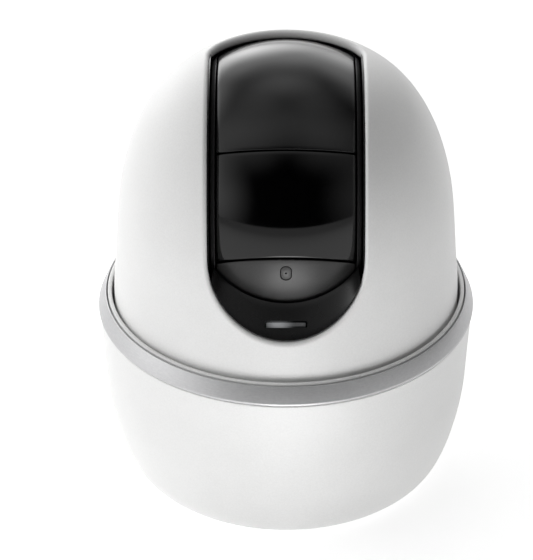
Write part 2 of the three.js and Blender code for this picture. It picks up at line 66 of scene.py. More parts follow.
# ------------------------------------------------------------------ dimensions, millimetres
TILT_Z = 69.2
BALL_R, BALL_WALL, SKIN_HALF, BALL_HALF = 32.4, 2.0, 14.7, 15.95
SEAM_TILT, SEAM_TOP, SEAM_LOW, GAP = 43.0, 0.9, -20.65, 0.3
DOME_WALL = 1.9
SLOT_HALF, SLOT_ARC_Z, SLOT_REAR_Y, SLOT_REAR_R = 16.6, 69.9, 18.2, 22.0
DOME_PROFILE = [
    (38.4, 36.2), (38.4, 40), (38.4, 45.4), (38.0, 50.7), (37.6, 55.9), (37.25, 61.1), (36.85, 66.5), (36.05, 72.2),
    (34.6, 78.2), (32.35, 84.3), (29.05, 90.2), (24.5, 95.1), (18.6, 98.45), (12.0, 100.2), (6, 100.85), (0, 101.0)]
FOOT_H, BASE_WALL, BASE_OPENING_R = 0.8, 2.3, 32.5
RING_Z, RING_TOP_Z, RING_R, LIP_R_OUT, LIP_R_IN, LIP_Z = 40.0, 43.9, 42.0, 39.9, 39.0, 44.3
SOCKET_Z, RESET_X = 8.1, 13.0
MIC_ANGLE = -3.2
D = math.radians


# ------------------------------------------------------------------ curves
def cubic(t, y, at):
    """Natural cubic spline through (t, y)."""
    t, y = np.asarray(t, float), np.asarray(y, float)
    n, h = len(t), np.diff(t)
    a, b = np.zeros((n, n)), np.zeros(n)
    a[0, 0] = a[-1, -1] = 1
    for i in range(1, n - 1):
        a[i, i - 1], a[i, i], a[i, i + 1] = h[i - 1], 2 * (h[i - 1] + h[i]), h[i]
        b[i] = 6 * ((y[i + 1] - y[i]) / h[i] - (y[i] - y[i - 1]) / h[i - 1])
    m = np.linalg.solve(a, b)
    k = np.clip(np.searchsorted(t, at, side="right") - 1, 0, n - 2)
    u, v = t[k + 1] - at, at - t[k]
    return (m[k] * u ** 3 + m[k + 1] * v ** 3) / (6 * h[k]) + (y[k] / h[k] - m[k] * h[k] / 6) * u + (y[k + 1] / h[k] - m[k + 1] * h[k] / 6) * v


def lengths(p):
    return np.concatenate([[0], np.cumsum(np.linalg.norm(np.diff(p, axis=0), axis=1))])


def resample(p, n):
    p = np.asarray(p, float)
    s = lengths(p)
    at = np.linspace(0, s[-1], n)
    return np.stack([np.interp(at, s, p[:, k]) for k in range(p.shape[1])], 1)


def gauss(p, sigma, closed=False):
    """Smooths an evenly spaced path over sigma steps; the ends of an open one stay."""
    k = int(4 * sigma) + 1
    w = np.exp(-0.5 * (np.arange(-k, k + 1) / sigma) ** 2)
    w /= w.sum()
    ext = np.concatenate([p[-k:], p, p[:k]]) if closed else np.concatenate([2 * p[0] - p[k:0:-1], p, 2 * p[-1] - p[-2:-k - 2:-1]])
    return np.stack([np.convolve(ext[:, j], w, mode="valid") for j in range(p.shape[1])], 1)


def round_polygon(points, radii, closed=True, steps=4):
    """Corners of a 2D or 3D outline replaced by short curves."""
    pts = [np.asarray(p, float) for p in points]
    out, n = [], len(pts)
    for i, p in enumerate(pts):
        r = radii[i]
        if not r or (not closed and i in (0, n - 1)):
            out.append(p)
            continue
        a, b = pts[i - 1], pts[(i + 1) % n]
        da, db = a - p, b - p
        pa = p + da / np.linalg.norm(da) * r
        pb = p + db / np.linalg.norm(db) * r
        for k in range(steps + 1):
            t = k / steps
            out.append((1 - t) ** 2 * pa + 2 * t * (1 - t) * (0.9 * p + 0.05 * (pa + pb)) + t * t * pb)
    return np.array(out)


def inset(p, t):
    """Offsets an open profile towards the axis by t."""
    p = np.asarray(p, float)
    d = np.gradient(p, axis=0)
    d /= np.linalg.norm(d, axis=1)[:, None]
    return np.stack([p[:, 0] - d[:, 1] * t, p[:, 1] + d[:, 0] * t], 1)


# ------------------------------------------------------------------ meshes
def new_object(name, verts, faces, sharp=32.0):
    me = bpy.data.meshes.new(name)
    me.from_pydata((np.asarray(verts, float) * MM).tolist(), [], faces)
    bm = bmesh.new()
    bm.from_mesh(me)
    bmesh.ops.remove_doubles(bm, verts=bm.verts, dist=2e-7)
    bmesh.ops.dissolve_degenerate(bm, edges=bm.edges, dist=1e-7)
    bmesh.ops.recalc_face_normals(bm, faces=bm.faces)
    bm.to_mesh(me)
    bm.free()
    ob = bpy.data.objects.new(name, me)
    scene.collection.objects.link(ob)
    smooth(ob, sharp)
    return ob


def smooth(ob, sharp=32.0):
    me = ob.data
    me.polygons.foreach_set("use_smooth", [True] * len(me.polygons))
    me.set_sharp_from_angle(angle=D(sharp))
    me.update()


def loops_object(name, loops, close_rows=True, sharp=32.0):
    """A surface through closed loops of equal length; with close_rows the last meets the first."""
    r, n = len(loops), len(loops[0])
    verts = np.concatenate(loops)
    faces = []
    for i in range(r if close_rows else r - 1):
        a, b = i * n, ((i + 1) % r) * n
        faces += [(a + j, a + (j + 1) % n, b + (j + 1) % n, b + j) for j in range(n)]
    if not close_rows:
        for first in (0, (r - 1) * n):
            c = len(verts)
            verts = np.concatenate([verts, [verts[first:first + n].mean(0)]])
            faces += [(first + j, first + (j + 1) % n, c) for j in range(n)]
    return new_object(name, verts, faces, sharp)


def lathe(name, profile, segs=128, axis="Z", centre=(0, 0, 0), sharp=32.0, closed=True):
    """Turned piece. A closed profile goes round once; an open one starts and ends on the axis."""
    profile = np.asarray(profile, float)
    ang = np.linspace(0, 2 * np.pi, segs, endpoint=False)
    c, s = np.cos(ang), np.sin(ang)
    verts, faces, rows = [], [], []
    for r, h in profile:
        if r < 1e-6:
            rows.append([len(verts)])
            verts.append((0, 0, h))
        else:
            rows.append(list(range(len(verts), len(verts) + segs)))
            verts += list(zip(r * c, r * s, np.full(segs, h)))
    for i in range(len(rows) if closed else len(rows) - 1):
        a, b = rows[i], rows[(i + 1) % len(rows)]
        for j in range(segs):
            k = (j + 1) % segs
            if len(a) == 1 and len(b) == 1:
                continue
            if len(a) == 1:
                faces.append((a[0], b[k], b[j]))
            elif len(b) == 1:
                faces.append((a[j], a[k], b[0]))
            else:
                faces.append((a[j], a[k], b[k], b[j]))
    v = np.array(verts, float)
    if axis == "X":
        v = v[:, [2, 0, 1]]
    elif axis == "Y":
        v = np.stack([v[:, 0], v[:, 2], -v[:, 1]], 1)
    return new_object(name, v + np.array(centre), faces, sharp)


def combine(ob, tool, op="DIFFERENCE", sharp=32.0):
    m = ob.modifiers.new("cut", "BOOLEAN")
    m.operation, m.solver, m.object = op, "EXACT", tool
    bpy.context.view_layer.update()
    dg = bpy.context.evaluated_depsgraph_get()
    me = bpy.data.meshes.new_from_object(ob.evaluated_get(dg))
    ob.modifiers.clear()
    ob.data = me
    bpy.data.objects.remove(tool)
    bm = bmesh.new()
    bm.from_mesh(me)
    bmesh.ops.remove_doubles(bm, verts=bm.verts, dist=1e-7)
    bmesh.ops.dissolve_degenerate(bm, edges=bm.edges, dist=1e-7)
    bm.to_mesh(me)
    bm.free()
    smooth(ob, sharp)
    return ob


def hole_tool(p, n, w, r, depth, above=1.0, steps=4):
    """Cutter for a hole with a rounded rim: p rim points on a surface, n its normals there, w the wall's direction."""
    p, n = np.asarray(p, float), np.asarray(n, float)
    w = np.asarray(w, float)
    t = np.roll(p, -1, 0) - np.roll(p, 1, 0)
    t /= np.linalg.norm(t, axis=1)[:, None]
    s = np.cross(t, n)
    s /= np.linalg.norm(s, axis=1)[:, None]
    if ((p - p.mean(0)) * s).sum() < 0:
        s = -s
    rows = [p + s * r + n * above]
    for k in range(steps + 1):
        a = k / steps * math.pi / 2
        rows.append(p + s * r * (1 - math.sin(a)) + w * r * (1 - math.cos(a)) + n * 0.012)
    rows.append(p + w * depth)
    return loops_object("tool", rows, close_rows=False)


def pill(w, h, n=8, r=None):
    """Outline of a rounded rectangle, w by h, about the origin."""
    r = min(w, h) / 2 if r is None else r
    out = []
    for cx, cy, a0 in ((w / 2 - r, h / 2 - r, 0), (-w / 2 + r, h / 2 - r, 90), (-w / 2 + r, -h / 2 + r, 180), (w / 2 - r, -h / 2 + r, 270)):
        for k in range(n + 1):
            a = D(a0 + 90 * k / n)
            out.append((cx + r * math.cos(a), cy + r * math.sin(a)))
    p = np.array(out)
    keep = np.linalg.norm(p - np.roll(p, 1, 0), axis=1) > 1e-6
    return p[keep]


def patch_solid(name, outer, inner, nu, nv, eu, ev, r, steps=4, sharp=30.0):
    """Four-sided shell with rounded edges. outer and inner map arrays u, v in 0..1 to points."""
    us = np.linspace(eu, 1 - eu, nu + 1)
    vs = np.linspace(ev, 1 - ev, nv + 1)
    border = [(i, 0) for i in range(nu + 1)] + [(nu, j) for j in range(1, nv + 1)] + [(i, nv) for i in range(nu - 1, -1, -1)] + [(0, j) for j in range(nv - 1, 0, -1)]
    uu, vv = np.meshgrid(us, vs, indexing="ij")
    verts = [outer(uu.ravel(), vv.ravel())]
    ix = lambda i, j: i * (nv + 1) + j
    faces = [(ix(i, j), ix(i + 1, j), ix(i + 1, j + 1), ix(i, j + 1)) for i in range(nu) for j in range(nv)]
    b = np.array([(us[i], vs[j]) for i, j in border])
    f = np.array([(0 if i == 0 else 1 if i == nu else us[i], 0 if j == 0 else 1 if j == nv else vs[j]) for i, j in border])
    po, pi = outer(f[:, 0], f[:, 1]), inner(f[:, 0], f[:, 1])
    w = pi - po
    w /= np.linalg.norm(w, axis=1)[:, None]
    count, prev = (nu + 1) * (nv + 1), [ix(i, j) for i, j in border]
    n = len(border)

    def strip(a, c):
        return [(a[k], a[(k + 1) % n], c[(k + 1) % n], c[k]) for k in range(n)]

    for k in range(1, steps + 1):
        a = k / steps * math.pi / 2
        q = b + (f - b) * math.sin(a)
        verts.append(outer(q[:, 0], q[:, 1]) + w * r * (1 - math.cos(a)))
        row = list(range(count, count + n))
        faces += strip(prev, row)
        prev, count = row, count + n
    ui, vi = us.copy(), vs.copy()
    ui[0], ui[-1], vi[0], vi[-1] = 0, 1, 0, 1
    uu, vv = np.meshgrid(ui, vi, indexing="ij")
    verts.append(inner(uu.ravel(), vv.ravel()))
    row = [count + ix(i, j) for i, j in border]
    faces += strip(prev, row)
    faces += [tuple(count + k for k in (ix(i, j), ix(i, j + 1), ix(i + 1, j + 1), ix(i + 1, j))) for i in range(nu) for j in range(nv)]
    return new_object(name, np.concatenate(verts), faces, sharp)


def block(name, x, y, z, r=0.25, sharp=30.0, segs=3):
    """Box with rounded edges, by its limits."""
    me = bpy.data.meshes.new(name)
    bm = bmesh.new()
    bmesh.ops.create_cube(bm, size=1)
    for v in bm.verts:
        v.co = Vector(((x[0] if v.co.x < 0 else x[1]) * MM, (y[0] if v.co.y < 0 else y[1]) * MM, (z[0] if v.co.z < 0 else z[1]) * MM))
    bmesh.ops.bevel(bm, geom=bm.edges[:], offset=r * MM, segments=segs, profile=0.5, affect="EDGES")
    bm.to_mesh(me)
    bm.free()
    ob = bpy.data.objects.new(name, me)
    scene.collection.objects.link(ob)
    smooth(ob, sharp)
    return ob


# ------------------------------------------------------------------ dome
raw = np.array(DOME_PROFILE, float)[::-1]
mirror = np.concatenate([[(-18.6, 98.45), (-12.0, 100.2), (-6, 100.85)], raw])
s_raw = lengths(mirror)
fine = np.stack([cubic(s_raw, mirror[:, k], np.linspace(0, s_raw[-1], 4000)) for k in (0, 1)], 1)
fine = gauss(resample(fine, 2401), 45)
fine = fine[np.argmin(np.abs(fine[:, 0])):]
fine[0] = (0, fine[0, 1])
P_R, P_Z, P_S = fine[:, 0], fine[:, 1], lengths(fine)
P_D = np.gradient(fine, axis=0)
P_D /= np.linalg.norm(P_D, axis=1)[:, None]
S_END = P_S[-1]
r_of_z = lambda z: np.interp(-np.asarray(z), -P_Z, P_R)
z_of_r = lambda r: np.interp(np.asarray(r), P_R[:1700], P_Z[:1700])


def dome_at(q, depth=0.0):
    """Point and normal of the dome at q, a point of the flattened disc (front is -y)."""
    s = np.clip(np.hypot(q[:, 0], q[:, 1]), 1e-9, S_END)
    ux, uy = q[:, 0] / s, q[:, 1] / s
    r, z = np.interp(s, P_S, P_R), np.interp(s, P_S, P_Z)
    dr, dz = np.interp(s, P_S, P_D[:, 0]), np.interp(s, P_S, P_D[:, 1])
    n = np.stack([-dz * ux, -dz * uy, dr], 1)
    n /= np.linalg.norm(n, axis=1)[:, None]
    return np.stack([r * ux, r * uy, z], 1) - n * depth, n


def dome_disc(p):
    """Flattened place of points near the dome's surface."""
    r, z = np.hypot(p[:, 0], p[:, 1]), p[:, 2]
    near = np.argmin((P_R[None, ::2] - r[:, None]) ** 2 + (P_Z[None, ::2] - z[:, None]) ** 2, axis=1) * 2
    ds = (r - P_R[near]) * P_D[near, 0] + (z - P_Z[near]) * P_D[near, 1]
    s = P_S[near] + ds
    return np.stack([p[:, 0] / r * s, p[:, 1] / r * s], 1)


def slot_outline():
    half = []
    for f in np.linspace(0, 90, 61):
        x, z = SLOT_HALF * math.sin(D(f)), SLOT_ARC_Z - SLOT_HALF * math.cos(D(f))
        half.append((x, -math.sqrt(r_of_z(z) ** 2 - x * x), z))
    top = float(z_of_r(SLOT_HALF + 0.02))
    for z in np.linspace(SLOT_ARC_Z, top, 90)[1:]:
        half.append((SLOT_HALF, -math.sqrt(max(r_of_z(z) ** 2 - SLOT_HALF ** 2, 0)), z))
    for y in np.linspace(half[-1][1], 8.6, 30)[1:]:
        half.append((SLOT_HALF, y, float(z_of_r(math.hypot(SLOT_HALF, y)))))
    corner = math.asin(14.6 / SLOT_REAR_R)
    for a in np.linspace(corner, 0, 40):
        x, y = SLOT_REAR_R * math.sin(a), SLOT_REAR_Y - SLOT_REAR_R + SLOT_REAR_R * math.cos(a)
        half.append((x, y, float(z_of_r(math.hypot(x, y)))))
    half = np.array(half)
    other = half[1:-1][::-1] * np.array([-1, 1, 1])
    return np.concatenate([half, other])


N_SLOT = 420
loop = slot_outline()
loop = resample(np.concatenate([loop, loop[:1]]), N_SLOT * 4 + 1)[:-1]
disc = gauss(dome_disc(loop), 9.0, closed=True)
disc = resample(np.concatenate([disc, disc[:1]]), N_SLOT + 1)[:-1]
edge, en = dome_at(disc)
tangent = np.roll(edge, -1, 0) - np.roll(edge, 1, 0)
tangent /= np.linalg.norm(tangent, axis=1)[:, None]
away = np.cross(tangent, en)
away /= np.linalg.norm(away, axis=1)[:, None]
if ((edge - edge.mean(0)) * away).sum() < 0:
    away = -away
wall = np.stack([np.zeros(N_SLOT), np.maximum(-en[:, 1], 0), -en[:, 2]], 1)
wall = gauss(wall, 4.0, closed=True)
wall /= np.linalg.norm(wall, axis=1)[:, None]
FILLET = (1.15 + 0.45 * np.clip((edge[:, 1] - 6.0) / 8.0, 0, 1))[:, None]
start = dome_disc(edge + away * FILLET)
centre = np.array([0.0, -30.0])
ray = start - centre
ray /= np.linalg.norm(ray, axis=1)[:, None]
k = ray @ centre
end = centre + ray * (-k + np.sqrt(k * k - centre @ centre + S_END ** 2))[:, None]
rows = []
steps = np.concatenate([[0, 0.012, 0.03, 0.055], np.linspace(0.085, 1, 46)])
for v in steps[::-1]:
    rows.append(dome_at(start + (end - start) * v)[0])
for i in range(1, 9):
    a = i / 8 * math.pi / 2
    rows.append(edge + away * FILLET * (1 - math.sin(a)) + wall * FILLET * (1 - math.cos(a)))
deep = DOME_WALL / np.maximum(-(wall * en).sum(1), 0.5)
rows.append(edge + wall * (deep * 0.86)[:, None])
rows.append(edge + wall * deep[:, None] + away * 0.15)
for v in np.linspace(0, 1, 26):
    rows.append(dome_at(start + (end - start) * v, DOME_WALL)[0])
dome = loops_object("dome", rows, sharp=50)
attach(dome, "head")
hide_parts("dome_shell")
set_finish(dome, "white_plastic")


# ------------------------------------------------------------------ base shell
t = np.linspace(math.pi / 2, 0, 400)
curve = np.stack([34.5 + 6.3 * np.clip(np.cos(t), 0, 1) ** 1.34, FOOT_H + 22.6 * (1 - np.clip(np.sin(t), 0, 1) ** 1.37)], 1)
curve = np.concatenate([[(33.2, FOOT_H)], curve, [(41.25, 32.0), (41.7, RING_Z - GAP)]])
curve = gauss(resample(curve, 601), 22)
base_outer = resample(curve, 64)
inner = inset(resample(curve, 64), BASE_WALL)
inner = inner[(inner[:, 1] > 3.7) & (inner[:, 0] > BASE_OPENING_R + 0.1) & (inner[:, 1] < 35.2)][::2]
profile = [(BASE_OPENING_R, FOOT_H)] + base_outer[1:].tolist() + [
    (LIP_R_OUT, RING_Z - GAP), (LIP_R_OUT, LIP_Z), (LIP_R_IN, LIP_Z), (LIP_R_IN, 36.0)] + inner[::-1].tolist() + [(BASE_OPENING_R, 3.7)]
radii = [0.35] + [0] * (len(base_outer) - 2) + [0.35] + [0.15, 0.34, 0.34, 0.3] + [0] * len(inner) + [0.3]
base_shell = lathe("base", round_polygon(profile, radii), 200)
base_r = lambda z: np.interp(z, base_outer[:, 1], base_outer[:, 0])


def rear_tool(outline, x0, z0, r, depth):
    x, z = outline[:, 0] + x0, outline[:, 1] + z0
    rr = base_r(z)
    y = np.sqrt(rr ** 2 - x ** 2)
    slope = (base_r(z + 0.05) - base_r(z - 0.05)) / 0.1
    n = np.stack([x / rr, y / rr, -slope], 1)
    n /= np.linalg.norm(n, axis=1)[:, None]
    return hole_tool(np.stack([x, y, z], 1), n, (0, -1, 0), r, depth)


for i in range(-3, 4):
    combine(base_shell, rear_tool(pill(1.3, 9 - abs(i) * 0.9, 5, 0.6), i * 2.7, 18.5, 0.22, 5.0))
combine(base_shell, rear_tool(pill(9.6, 3.9, 8, 1.9), 0, SOCKET_Z, 0.3, 8.0))
combine(base_shell, rear_tool(pill(3.5, 3.5, 8), RESET_X, SOCKET_Z, 0.25, 8.0))
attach(base_shell, "base")
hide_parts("base_shell")
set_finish(base_shell, "white_plastic")

ring = lathe("trim", round_polygon([(40.2, RING_Z), (RING_R, RING_Z), (RING_R, RING_Z + 0.5), (40.45, RING_TOP_Z), (40.2, RING_TOP_Z)],
                                   [0.08, 0.2, 0.16, 0.11, 0.11]), 240)
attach(ring, "base")
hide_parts("trim_ring")
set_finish(ring, "silver_trim")

# ------------------------------------------------------------------ underside
LEGS = [(26.5 * math.cos(D(a)), 26.5 * math.sin(D(a))) for a in (30, 150, 270)]
cover_profile = [(0, FOOT_H), (17.7, FOOT_H), (17.7, 1.7), (22.3, 1.7), (22.3, FOOT_H), (32.2, FOOT_H), (32.2, 3.2), (0, 3.2)]
cover = lathe("underside_cover", round_polygon(cover_profile, [0, 0.2, 0.1, 0.1, 0.2, 0.3, 0.2, 0], closed=False), 144, closed=False)
for x, y in LEGS:
    rim = np.stack([x + 2.9 * np.cos(np.linspace(0, 2 * np.pi, 40, endpoint=False)), y + 2.9 * np.sin(np.linspace(0, 2 * np.pi, 40, endpoint=False)), np.full(40, FOOT_H)], 1)
    combine(cover, hole_tool(rim, np.tile((0, 0, -1.0), (40, 1)), (0, 0, 1.0), 0.25, 1.1))
    combine(cover, lathe("tool", [(0, 0.2), (1.5, 0.2), (1.5, 4.4), (0, 4.4)], 32, centre=(x, y, 0), closed=False))
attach(cover, "base")
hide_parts("bottom_cover")
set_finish(cover, "white_plastic")

foot = lathe("foot", round_polygon([(18, 0), (22, 0), (22, 1.4), (18, 1.4)], [0.3, 0.3, 0.05, 0.05]), 160)
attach(foot, "base")
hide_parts("rubber_foot")
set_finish(foot, "foot_rubber")

for i, (x, y) in enumerate(LEGS):
    prof = round_polygon([(0, 1.0), (2.4, 1.0), (2.4, 1.55), (0.95, 2.0), (0.95, 10.5), (0, 10.5)], [0, 0.22, 0.06, 0.1, 0.2, 0], closed=False)
    screw = lathe(f"screw_{i + 1}", prof, 48, centre=(x, y, 0), closed=False)
    for turn in (0.4 + i, 0.4 + i + math.pi / 2):
        bit = block("tool", (-1.35, 1.35), (-0.3, 0.3), (0.5, 1.75), 0.12)
        bit.data.transform(Matrix.Translation((x * MM, y * MM, 0)) @ Matrix.Rotation(turn, 4, "Z"))
        combine(screw, bit)
    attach(screw, "base")
    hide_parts(f"cover_screw_{i + 1}")
    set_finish(screw, "steel")

# ------------------------------------------------------------------ rear fittings
rear_y = lambda x, z: math.sqrt(float(base_r(z)) ** 2 - x * x)
b_end = rear_y(RESET_X, SOCKET_Z)
lo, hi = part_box("reset_button")
y_end = hi.y / MM
button = lathe("reset_key", round_polygon([(0, 28), (2.1, 28), (2.1, 29), (1.42, 29), (1.42, y_end - 0.02), (0, y_end)], [0, 0.1, 0.1, 0.1, 0.3, 0], closed=False),
               48, axis="Y", centre=(RESET_X, 0, SOCKET_Z), closed=False)
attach(button, "reset_button")
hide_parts("reset_button")
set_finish(button, "dark_plastic")

lo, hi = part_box("power_socket")
y0, y1 = lo.y / MM, hi.y / MM
shell_rows = []
for w, h, y in ((8.94, 3.26, y0), (8.94, 3.26, y1 - 0.12), (8.78, 3.1, y1), (8.5, 2.8, y1), (8.34, 2.64, y1 - 0.12), (8.34, 2.56, y0 + 1.5)):
    o = pill(w, h, 8)
    shell_rows.append(np.stack([o[:, 0], np.full(len(o), y), o[:, 1] + SOCKET_Z], 1))
socket = loops_object("inlet", shell_rows, close_rows=False)
tongue = block("inlet_tongue", (-3.4, 3.4), (y0 + 1.6, y1 - 1.6), (SOCKET_Z - 0.35, SOCKET_Z + 0.35), 0.12)
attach(socket, "base")
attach(tongue, "base")
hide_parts("power_socket")
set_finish(socket, "steel")
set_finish(tongue, "dark_plastic")

# ------------------------------------------------------------------ black insert in the slot
r_in = lambda z: r_of_z(z) - (DOME_WALL + GAP)
clear = lambda x, z: -math.sqrt((BALL_R + 0.5) ** 2 - x * x - (z - TILT_Z) ** 2)
sections = []
for f in np.linspace(-74, 74, 121):
    f = D(f)
    g = f * 53 / 75
    r1, r2 = SLOT_HALF - GAP, SLOT_HALF + 1.6
    ox, oz = r1 * math.sin(f), SLOT_ARC_Z - r1 * math.cos(f)
    fx, fz = r2 * math.sin(f), SLOT_ARC_Z - r2 * math.cos(f)
    ix, iz = 19.3 * math.sin(g), 78.9 - 19.3 * math.cos(g)
    o = np.array((ox, -math.sqrt(r_of_z(oz) ** 2 - ox * ox) + 0.35, oz))
    i_ = np.array((ix, clear(ix, iz), iz))
    k_ = np.array((ix, clear(ix, iz - 3.2), iz - 3.2))
    q = np.array((fx, -math.sqrt(r_in(fz) ** 2 - fx * fx), fz))
    q2 = np.array((ox, -math.sqrt(r_in(oz) ** 2 - ox * ox), oz))
    mids = [o + (i_ - o) * v for v in (0.2, 0.4, 0.6, 0.8)]
    sections.append(round_polygon([o, *mids, i_, k_, q + np.array((0, 1.6, 0)), q, q2], [0.35, 0, 0, 0, 0, 0.3, 0.2, 0, 0, 0], steps=4))
insert = loops_object("insert", sections, close_rows=False, sharp=38)
ang = np.linspace(0, 2 * np.pi, 220, endpoint=False)
for side in (1, -1):
    loops = []
    for x in (16.25, 16.95):
        y_l, z_l = [], []
        for a in ang:
            ca, sa = math.cos(a), math.sin(a)
            lo_, hi_ = 14.0, 45.0
            for _ in range(30):
                m_ = (lo_ + hi_) / 2
                y, z = m_ * ca, TILT_Z + m_ * sa
                inside = z > 46 and y < 22 and z < 98.5 and r_in(z) ** 2 > x * x + y * y
                lo_, hi_ = (m_, hi_) if inside else (lo_, m_)
            y_l.append(lo_ * ca)
            z_l.append(TILT_Z + lo_ * sa)
        out = np.stack([np.full(len(ang), x * side), y_l, z_l], 1)
        inn = np.stack([np.full(len(ang), x * side), 14.2 * np.cos(ang), TILT_Z + 14.2 * np.sin(ang)], 1)
        loops.append((inn, out))
    panel = loops_object("tool", [loops[0][0], loops[0][1], loops[1][1], loops[1][0]], sharp=30)
    combine(insert, panel, "UNION", sharp=38)
pipe_dir = np.array((0, 0.719, -0.695))
pipe_up = np.array((0, 0.695, 0.719))
pipe_0 = np.array((0, -34.75, 56.15))


def along_pipe(name, w, h, d0, d1, r=0.2):
    ob = block(name, (-w / 2, w / 2), (-h / 2, h / 2), (d0, d1), r)
    m = Matrix(((-1, pipe_up[0], pipe_dir[0], pipe_0[0] * MM), (0, pipe_up[1], pipe_dir[1], pipe_0[1] * MM), (0, pipe_up[2], pipe_dir[2], pipe_0[2] * MM), (0, 0, 0, 1)))
    ob.data.transform(m)
    return ob


combine(insert, along_pipe("tool", 9.0, 1.5, -3, 9, 0.3), sharp=38)
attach(insert, "head")
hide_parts("front_bezel")
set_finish(insert, "black_gloss")

guide = along_pipe("light_guide", 8.4, 0.9, 0.0, 6.2, 0.22)
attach(guide, "head")
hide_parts("light_pipe")
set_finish(guide, "light_guide")


# ------------------------------------------------------------------ lens ball
def ball_map(radius, c0, c1, over=False):
    """Maps u across the ball and v along it, between the seam planes c0 and c1; over: up and round to the same plane."""
    def at(u, v):
        x = -SKIN_HALF + 2 * SKIN_HALF * u
        rho = np.sqrt(radius ** 2 - x ** 2)
        a0 = SEAM_TILT + np.degrees(np.arcsin(c0 / rho))
        a1 = SEAM_TILT + (180 if over == "up" else -180 if over == "down" else 0) + np.degrees(np.arcsin(c1 / rho)) * (-1 if over else 1)
        a = np.radians(a0 + (a1 - a0) * v)
        return np.stack([x, -rho * np.cos(a), TILT_Z + rho * np.sin(a)], 1)
    return at


E = 0.3
TOP, MID0, MID1, LOW = SEAM_TOP + GAP / 2, SEAM_TOP - GAP / 2, SEAM_LOW + GAP / 2, SEAM_LOW - GAP / 2
RI = BALL_R - BALL_WALL
upper = patch_solid("ball_skin", ball_map(BALL_R, TOP, TOP, "up"), ball_map(RI, TOP, TOP, "up"), 40, 150, E / 29.4, E / 100, E)
window = patch_solid("front_window", ball_map(BALL_R, MID1, MID0), ball_map(RI, MID1, MID0), 48, 40, E / 29.4, E / 23, E)
chin = patch_solid("chin", ball_map(BALL_R, LOW, LOW, "down"), ball_map(RI, LOW, LOW, "down"), 48, 70, E / 29.4, E / 50, E)
mic_n = np.array((0, -math.cos(D(MIC_ANGLE)), math.sin(D(MIC_ANGLE))))
mic_up = np.array((0, math.sin(D(MIC_ANGLE)), math.cos(D(MIC_ANGLE))))
axis0 = np.array((0, 0, TILT_Z))


def on_ball(outline, radius):
    d = outline[:, :1] * np.array((1.0, 0, 0)) + outline[:, 1:] * mic_up
    return axis0 + d + mic_n * np.sqrt(radius ** 2 - (outline ** 2).sum(1))[:, None]


rim = on_ball(pill(2.44, 3.64, 10, 1.21), BALL_R)
rn = (rim - axis0) / np.linalg.norm(rim - axis0, axis=1)[:, None]
combine(chin, hole_tool(rim, rn, -mic_n, 0.08, 6.0), sharp=30)
mic_rows = []
for g_, h_ in ((0, 29.5), (0, 32.22), (0.03, 32.29), (0.1, 32.32)):
    o = pill(2.2 - 2 * g_, 3.4 - 2 * g_, 10)
    mic_rows.append(axis0 + o[:, :1] * np.array((1.0, 0, 0)) + o[:, 1:] * mic_up + mic_n * h_)
mic = loops_object("mic_insert", mic_rows, close_rows=False)
o = pill(0.42, 0.42, 6)
combine(mic, loops_object("tool", [axis0 + o[:, :1] * np.array((1.0, 0, 0)) + o[:, 1:] * mic_up + mic_n * h_ for h_ in (28.0, 34.0)], close_rows=False))
for ob, node, slot in ((upper, "ball_upper_shell", "black_gloss"), (window, "lens_window", "smoked_window"), (chin, "chin_cover", "grey_matte"), (mic, "mic_port", "dark_plastic")):
    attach(ob, "lens_ball")
    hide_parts(node)
    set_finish(ob, slot)

side_r = math.sqrt(BALL_R ** 2 - 15 ** 2)
cheeks = []
for side, node in ((1, "side_plate_right"), (-1, "side_plate_left")):
    hub = 16.9 if side > 0 else 20.0
    prof = [(0, 15), (side_r, 15), (side_r - 0.9, BALL_HALF), (5, BALL_HALF), (5, hub), (2.5, hub), (2.5, 23.3), (0, 23.3)]
    prof = round_polygon(prof, [0, 0.12, 0.3, 0.2, 0.2, 0.2, 0.3, 0], closed=False, steps=5)
    plate = lathe(f"cheek_{'right' if side > 0 else 'left'}", [(r, h * side) for r, h in prof], 192, axis="X", centre=(0, 0, TILT_Z), closed=False)
    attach(plate, "lens_ball")
    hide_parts(node)
    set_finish(plate, "black_gloss")
    cheeks.append(plate)


# ------------------------------------------------------------------ finishes
def tree(name):
    m = bpy.data.materials.new(name)
    m.use_nodes = True
    return m, m.node_tree, m.node_tree.nodes["Principled BSDF"]


def node(nt, kind, **inputs):
    n = nt.nodes.new(kind)
    for key, value in inputs.items():
        if key in n.inputs:
            n.inputs[key].default_value = value
        else:
            setattr(n, key, value)
    return n


